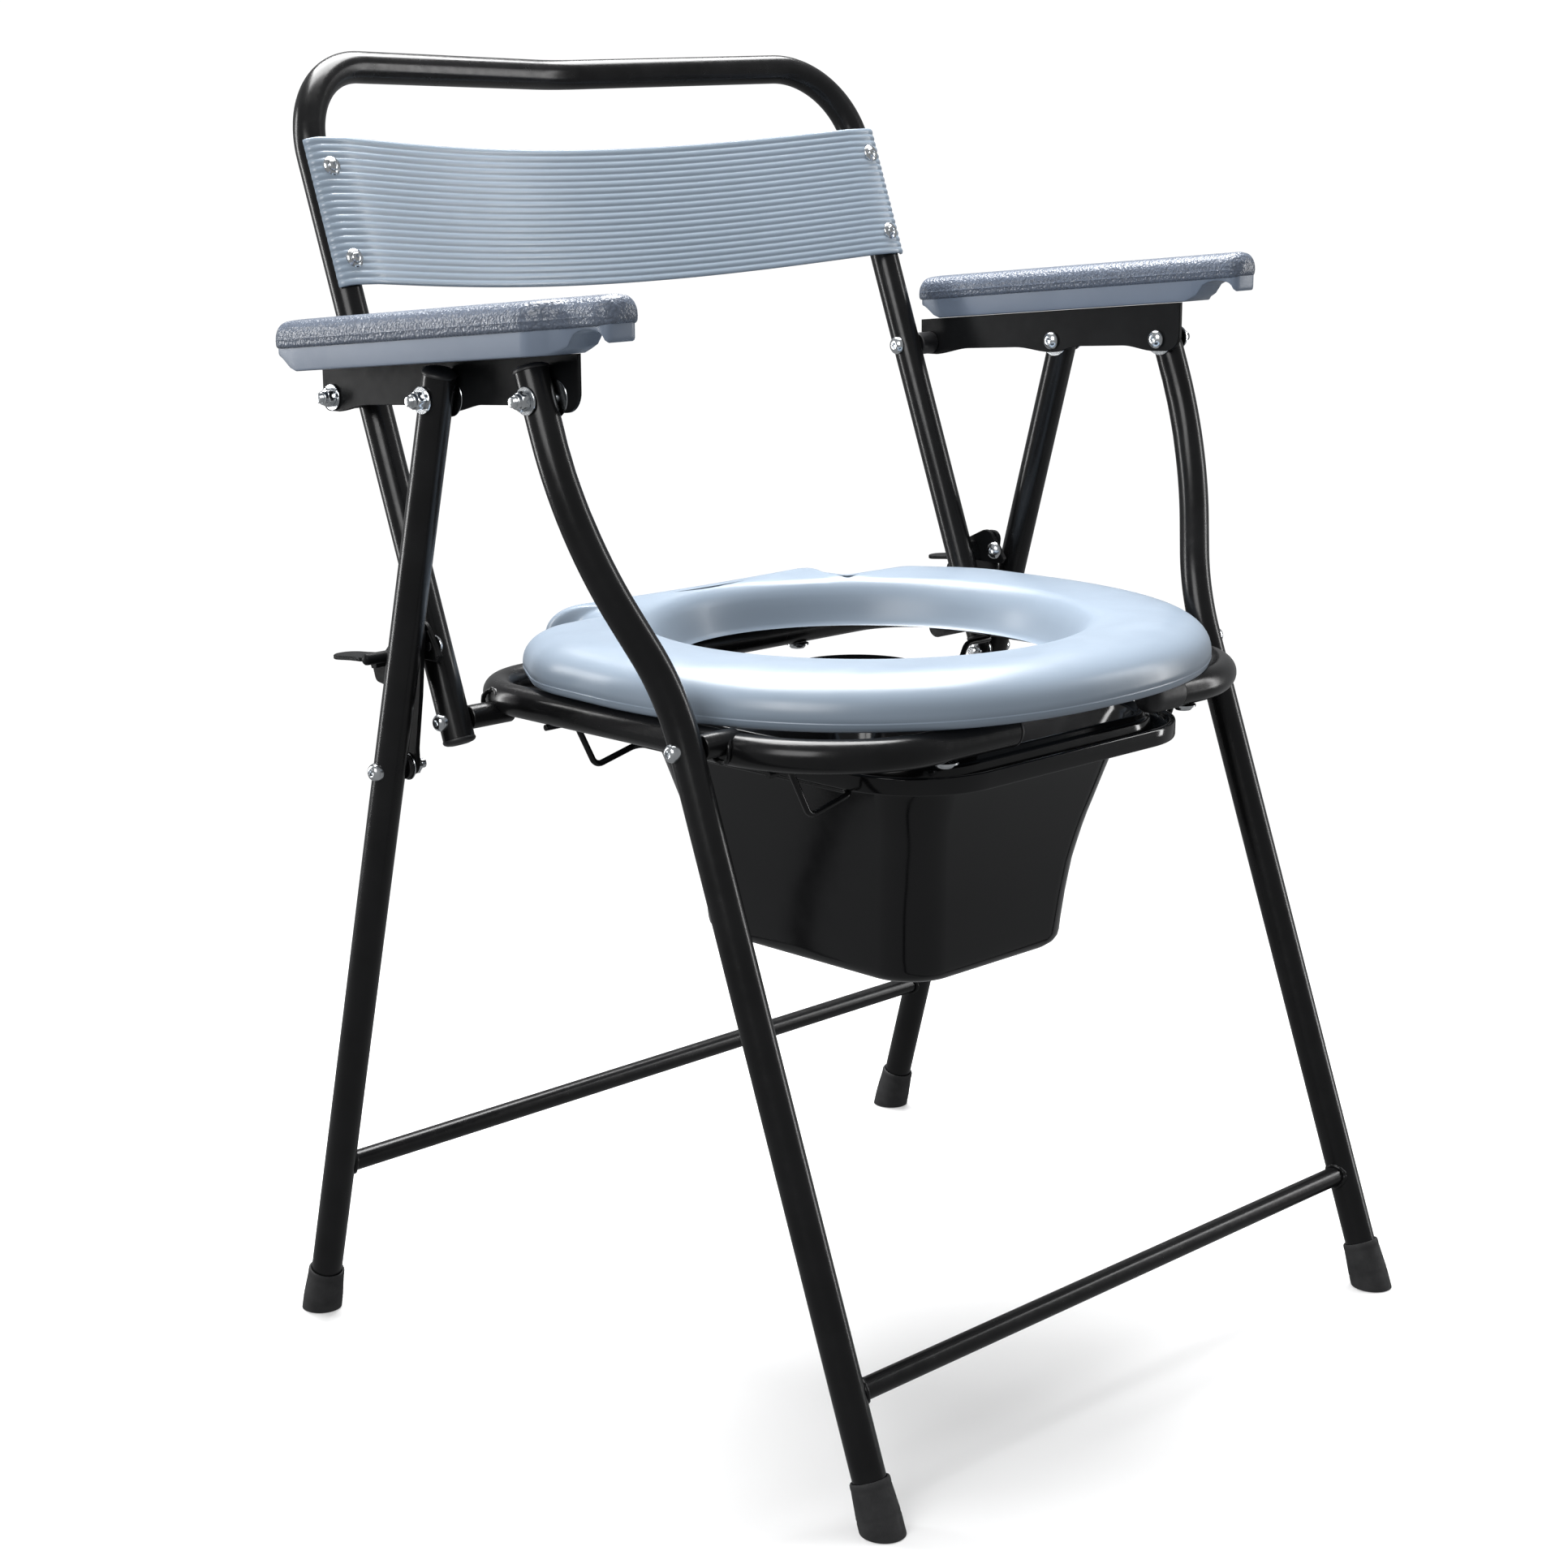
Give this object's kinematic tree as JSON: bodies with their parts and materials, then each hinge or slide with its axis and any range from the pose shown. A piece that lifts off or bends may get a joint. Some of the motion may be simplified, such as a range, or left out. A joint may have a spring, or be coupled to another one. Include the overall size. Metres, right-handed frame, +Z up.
{
  "type": "commode chair",
  "caption": "Folding commode chair on a black bent-tube frame, with a blue-grey ring seat, slide-out bucket, ribbed strap back and padded armrests.",
  "frame": {"origin": "centre of the bounding box on the floor plane, between the four boots", "axes": "+X is the sitter's left, -Y is the way the sitter faces, +Z is up"},
  "size_m": [0.614, 0.5627, 0.8121],
  "materials": {
    "frame_black": "satin gloss black powder coat",
    "zinc_steel": "bright zinc plate",
    "pad_blue": "fine leather grain top, smooth satin sides",
    "strap_blue": "satin flexible sheet with raised ribs",
    "seat_blue": "satin moulded plastic",
    "bucket_black": "glossy black moulding",
    "boot_rubber": "matt dark grey rubber",
    "spacer_black": "matt black moulding"
  },
  "bodies": {
    "back_frame": {"back_frame_tube": "frame_black", "backrest_strap": "strap_blue", "back_tube_plug_left": "spacer_black", "back_tube_plug_right": "spacer_black", "strap_screw_lower_left": "zinc_steel", "strap_screw_lower_right": "zinc_steel", "strap_screw_upper_left": "zinc_steel", "strap_screw_upper_right": "zinc_steel", "armrest_bolt_rear_left": "zinc_steel", "armrest_bolt_rear_right": "zinc_steel", "armrest_spacer_left": "spacer_black", "armrest_spacer_right": "spacer_black", "seat_bolt_rear_left": "zinc_steel", "seat_bolt_rear_right": "zinc_steel", "lock_bracket_left": "frame_black", "lock_bracket_right": "frame_black", "lock_pin_left": "zinc_steel", "lock_pin_right": "zinc_steel"},
    "seat_frame": {"seat_loop": "frame_black", "seat_ring": "seat_blue", "seat_loop_cap_left": "spacer_black", "seat_loop_cap_right": "spacer_black", "bucket_rail_left": "frame_black", "bucket_rail_right": "frame_black", "seat_screw_front_left": "zinc_steel", "seat_screw_front_right": "zinc_steel", "seat_screw_rear_left": "zinc_steel", "seat_screw_rear_right": "zinc_steel"},
    "bucket_body": {"bucket": "bucket_black"},
    "armrest_left": {"armrest_pad_left": "pad_blue", "armrest_bracket_left": "frame_black"},
    "armrest_right": {"armrest_pad_right": "pad_blue", "armrest_bracket_right": "frame_black"},
    "front_leg_frame": {"front_crossbar": "frame_black", "front_leg_tube_left": "frame_black", "front_leg_tube_right": "frame_black", "front_boot_left": "boot_rubber", "front_boot_right": "boot_rubber", "front_leg_cap_left": "spacer_black", "front_leg_cap_right": "spacer_black", "armrest_bolt_front_left": "zinc_steel", "armrest_bolt_front_right": "zinc_steel", "seat_bolt_front_left": "zinc_steel", "seat_bolt_front_right": "zinc_steel"},
    "rear_leg_frame": {"rear_crossbar": "frame_black", "rear_leg_tube_left": "frame_black", "rear_leg_tube_right": "frame_black", "rear_boot_left": "boot_rubber", "rear_boot_right": "boot_rubber", "rear_leg_cap_left": "spacer_black", "rear_leg_cap_right": "spacer_black", "armrest_bolt_mid_left": "zinc_steel", "armrest_bolt_mid_right": "zinc_steel", "lock_bar_spacer_left": "spacer_black", "lock_bar_spacer_right": "spacer_black", "lock_bar_bolt_left": "zinc_steel", "lock_bar_bolt_right": "zinc_steel"},
    "lock_left": {"lock_bar_left": "frame_black"},
    "lock_right": {"lock_bar_right": "frame_black"}
  },
  "joints": [
    {"name": "fold", "type": "hinge", "parent": "back_frame", "child": "seat_frame", "pos_m": [0, 0.094, 0.4113], "axis": [-1, 0, 0], "range_deg": [0, 90]},
    {"name": "bucket_slide", "type": "slide", "parent": "seat_frame", "child": "bucket_body", "axis": [0, -1, 0], "range_m": [0, 0.28]},
    {"name": "armrest_fold_left", "type": "hinge", "parent": "back_frame", "child": "armrest_left", "pos_m": [0.2701, 0.1646, 0.6064], "axis": [-1, 0, 0], "range_deg": [0, 90]},
    {"name": "armrest_fold_right", "type": "hinge", "parent": "back_frame", "child": "armrest_right", "pos_m": [-0.2701, 0.1646, 0.6064], "axis": [-1, 0, 0], "range_deg": [0, 90]},
    {"name": "front_leg_fold", "type": "hinge", "parent": "armrest_right", "child": "front_leg_frame", "pos_m": [-0.2701, -0.0437, 0.6199], "axis": [-1, 0, 0], "range_deg": [-90, 0]},
    {"name": "rear_leg_fold", "type": "hinge", "parent": "armrest_right", "child": "rear_leg_frame", "pos_m": [-0.2701, 0.0496, 0.6139], "axis": [-1, 0, 0], "range_deg": [-55.01, 0]},
    {"name": "lock_release_left", "type": "hinge", "parent": "rear_leg_frame", "child": "lock_left", "pos_m": [0.2645, 0.11, 0.384], "axis": [-1, 0, 0], "range_deg": [0, 25]},
    {"name": "lock_release_right", "type": "hinge", "parent": "rear_leg_frame", "child": "lock_right", "pos_m": [-0.2645, 0.11, 0.384], "axis": [-1, 0, 0], "range_deg": [0, 25]}
  ],
  "couplings": [
    {"joint": "armrest_fold_left", "follows": "fold", "ratio": 1},
    {"joint": "armrest_fold_right", "follows": "fold", "ratio": 1},
    {"joint": "front_leg_fold", "follows": "fold", "ratio": -1},
    {"joint": "rear_leg_fold", "follows": "fold", "ratio": -0.6111},
    {"joint": "lock_release_right", "follows": "lock_release_left", "ratio": 1}
  ]
}
